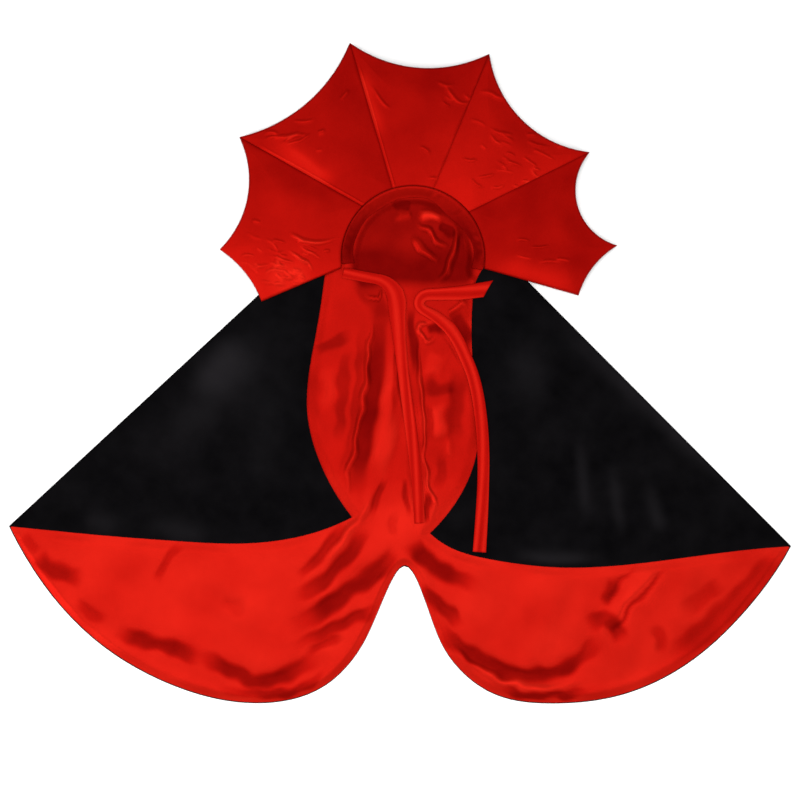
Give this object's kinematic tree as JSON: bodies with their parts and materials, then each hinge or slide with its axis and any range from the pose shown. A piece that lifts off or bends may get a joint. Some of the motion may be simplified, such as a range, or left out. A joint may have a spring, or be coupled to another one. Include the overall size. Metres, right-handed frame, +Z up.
{
  "type": "costume cape",
  "caption": "Two-colour satin costume cape laid flat, with a stiffened scalloped bat-wing collar, overlapping front panels and two neck ties.",
  "frame": {"origin": "centre of the footprint, on the surface the cape lies on", "axes": "+X to the right across the hem, +Y from the hem towards the collar, +Z up from the surface it lies on"},
  "size_m": [0.8602, 0.7256, 0.009],
  "materials": {
    "black_satin": "satin-weave polyester with a low bluish sheen",
    "red_satin": "satin-weave polyester, glossy",
    "collar_satin": "satin-weave polyester over padding, glossy",
    "tie_satin": "satin-weave polyester folded and stitched along one edge",
    "foam_sheet": "closed-cell foam sheet",
    "interlining": "non-woven interlining"
  },
  "bodies": {
    "cape_body": {"back_shell": "black_satin", "back_lining": "red_satin", "front_left_shell_upper": "black_satin", "front_left_lining_upper": "red_satin", "front_right_shell_upper": "black_satin", "front_right_lining_upper": "red_satin", "neckband_face": "red_satin", "neckband_under": "red_satin", "neckband_interlining": "interlining", "left_tie": "tie_satin", "right_tie_upper": "tie_satin"},
    "front_left_flap": {"front_left_shell_lower": "black_satin", "front_left_lining_lower": "red_satin"},
    "front_right_flap": {"front_right_shell_lower": "black_satin", "front_right_lining_lower": "red_satin", "right_tie_lower": "tie_satin"},
    "collar_left_wing": {"collar_facing_left_wing": "collar_satin", "collar_outer_left_wing": "black_satin", "collar_stiffener_left_wing": "foam_sheet"},
    "collar_left_mid": {"collar_facing_left_mid": "collar_satin", "collar_outer_left_mid": "black_satin", "collar_stiffener_left_mid": "foam_sheet"},
    "collar_centre": {"collar_facing_centre": "collar_satin", "collar_outer_centre": "black_satin", "collar_stiffener_centre": "foam_sheet"},
    "collar_right_mid": {"collar_facing_right_mid": "collar_satin", "collar_outer_right_mid": "black_satin", "collar_stiffener_right_mid": "foam_sheet"},
    "collar_right_wing": {"collar_facing_right_wing": "collar_satin", "collar_outer_right_wing": "black_satin", "collar_stiffener_right_wing": "foam_sheet"}
  },
  "joints": [
    {"name": "collar_stand", "type": "hinge", "parent": "cape_body", "child": "collar_centre", "pos_m": [-0.008, 0.20399, 0.0048], "axis": [1, -0.0009, 0], "range_deg": [0, 35]},
    {"name": "left_mid_fold", "type": "hinge", "parent": "collar_centre", "child": "collar_left_mid", "pos_m": [-0.008, 0.20399, 0.009], "axis": [-0.2824, 0.9593, 0], "range_deg": [0, 24]},
    {"name": "left_wing_fold", "type": "hinge", "parent": "collar_left_mid", "child": "collar_left_wing", "pos_m": [-0.04107, 0.18455, 0.009], "axis": [-0.8722, 0.4891, 0], "range_deg": [0, 24]},
    {"name": "right_mid_fold", "type": "hinge", "parent": "collar_centre", "child": "collar_right_mid", "pos_m": [0.03674, 0.20395, 0.009], "axis": [-0.3829, -0.9238, 0], "range_deg": [0, 31]},
    {"name": "right_wing_fold", "type": "hinge", "parent": "collar_right_mid", "child": "collar_right_wing", "pos_m": [0.07543, 0.17824, 0.009], "axis": [-0.8965, -0.443, 0], "range_deg": [0, 15]},
    {"name": "front_left_turn", "type": "hinge", "parent": "cape_body", "child": "front_left_flap", "pos_m": [-0.1012, -0.0501, 0.0046], "axis": [-0.9425, -0.3341, 0], "range_deg": [0, 180]},
    {"name": "front_right_turn", "type": "hinge", "parent": "cape_body", "child": "front_right_flap", "pos_m": [0.0869, -0.0435, 0.0046], "axis": [-0.921, 0.3896, 0], "range_deg": [0, 180]}
  ],
  "couplings": [
    {"joint": "left_mid_fold", "follows": "collar_stand", "ratio": 0.65},
    {"joint": "left_wing_fold", "follows": "collar_stand", "ratio": 0.676},
    {"joint": "right_mid_fold", "follows": "collar_stand", "ratio": 0.861},
    {"joint": "right_wing_fold", "follows": "collar_stand", "ratio": 0.418}
  ]
}
